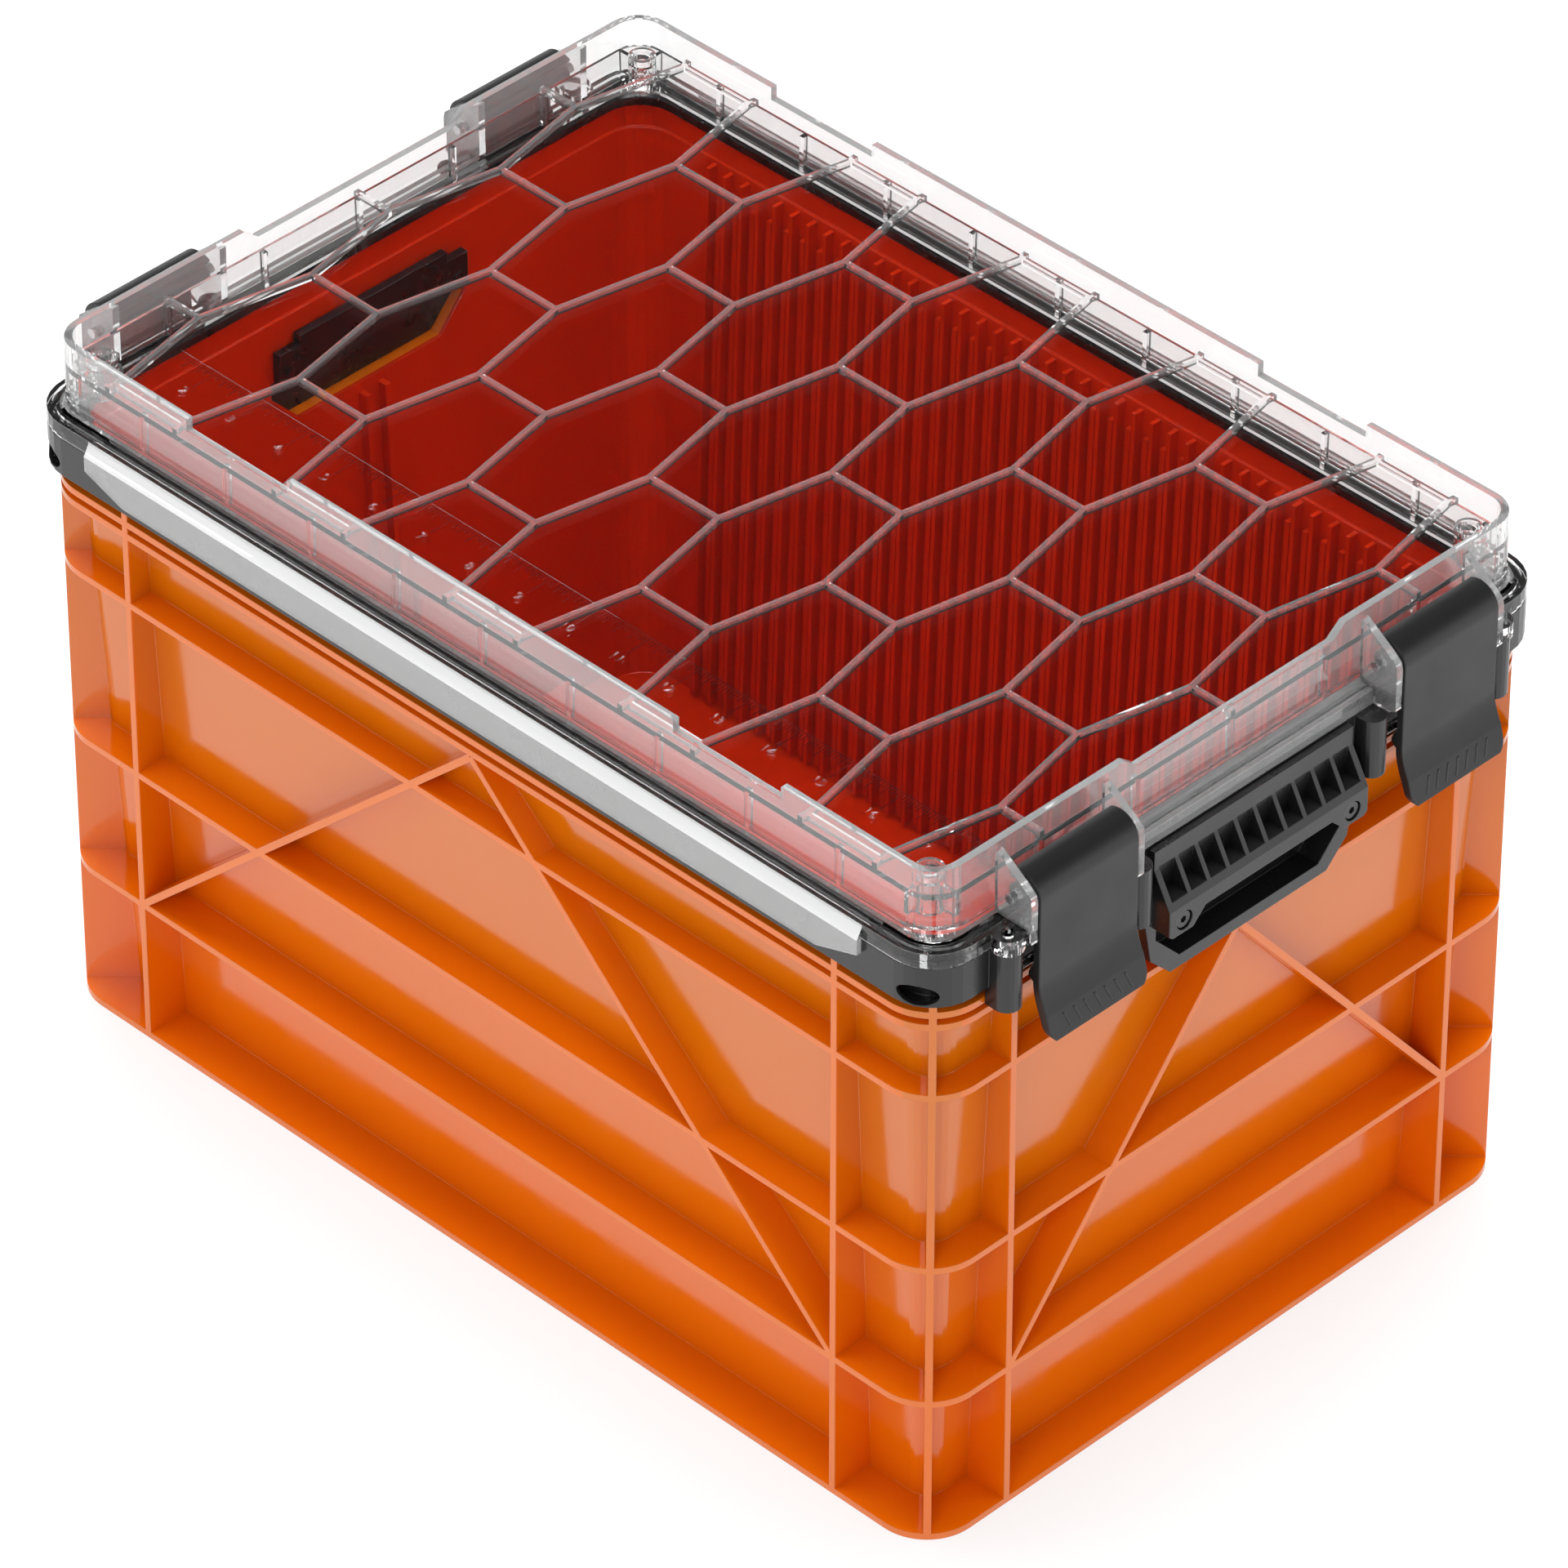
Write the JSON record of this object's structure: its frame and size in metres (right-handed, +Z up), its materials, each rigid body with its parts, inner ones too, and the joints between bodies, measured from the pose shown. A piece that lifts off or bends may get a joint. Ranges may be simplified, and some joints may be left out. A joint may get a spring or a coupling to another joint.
{
  "type": "fishing tackle box",
  "caption": "Rectangular ribbed plastic tackle box with a black rim collar, a clear honeycomb lid held by end latches, and end handles.",
  "frame": {"origin": "middle of the underside, on the floor", "axes": "+Z up, +X along the long side towards the front end, +Y towards the left long side"},
  "size_m": [0.5086, 0.325, 0.308],
  "materials": {
    "orange_plastic": "injection moulded, semi gloss",
    "black_plastic": "injection moulded, satin",
    "gasket_rubber": "smooth rubber",
    "clear_plastic": "clear polycarbonate, polished",
    "latch_plastic": "fine matte texture",
    "steel": "plain drawn steel",
    "screw_black": "black oxide"
  },
  "bodies": {
    "tub": {"crate_body": "orange_plastic", "rim_collar": "black_plastic", "rim_gasket": "gasket_rubber", "front_handle": "black_plastic", "front_handle_backing": "black_plastic", "front_left_catch_bar": "steel", "front_left_handle_screw": "screw_black", "front_right_catch_bar": "steel", "front_right_handle_screw": "screw_black", "rear_handle": "black_plastic", "rear_handle_backing": "black_plastic", "rear_left_catch_bar": "steel", "rear_left_handle_screw": "screw_black", "rear_right_catch_bar": "steel", "rear_right_handle_screw": "screw_black"},
    "lid": {"lid": "clear_plastic", "front_left_latch_pin": "steel", "front_right_latch_pin": "steel", "rear_left_latch_pin": "steel", "rear_right_latch_pin": "steel"},
    "front_left_latch": {"front_left_latch": "latch_plastic"},
    "front_right_latch": {"front_right_latch": "latch_plastic"},
    "rear_left_latch": {"rear_left_latch": "latch_plastic"},
    "rear_right_latch": {"rear_right_latch": "latch_plastic"}
  },
  "joints": [
    {"name": "lid_lift", "type": "slide", "parent": "tub", "child": "lid", "axis": [0, 0, 1], "range_m": [0, 0.12]},
    {"name": "front_left_latch_swing", "type": "hinge", "parent": "lid", "child": "front_left_latch", "pos_m": [0.2385, 0.094, 0.29], "axis": [0, -1, 0], "range_deg": [0, 110]},
    {"name": "front_right_latch_swing", "type": "hinge", "parent": "lid", "child": "front_right_latch", "pos_m": [0.2385, -0.094, 0.29], "axis": [0, -1, 0], "range_deg": [0, 110]},
    {"name": "rear_left_latch_swing", "type": "hinge", "parent": "lid", "child": "rear_left_latch", "pos_m": [-0.2385, 0.094, 0.29], "axis": [0, 1, 0], "range_deg": [0, 110]},
    {"name": "rear_right_latch_swing", "type": "hinge", "parent": "lid", "child": "rear_right_latch", "pos_m": [-0.2385, -0.094, 0.29], "axis": [0, 1, 0], "range_deg": [0, 110]}
  ]
}
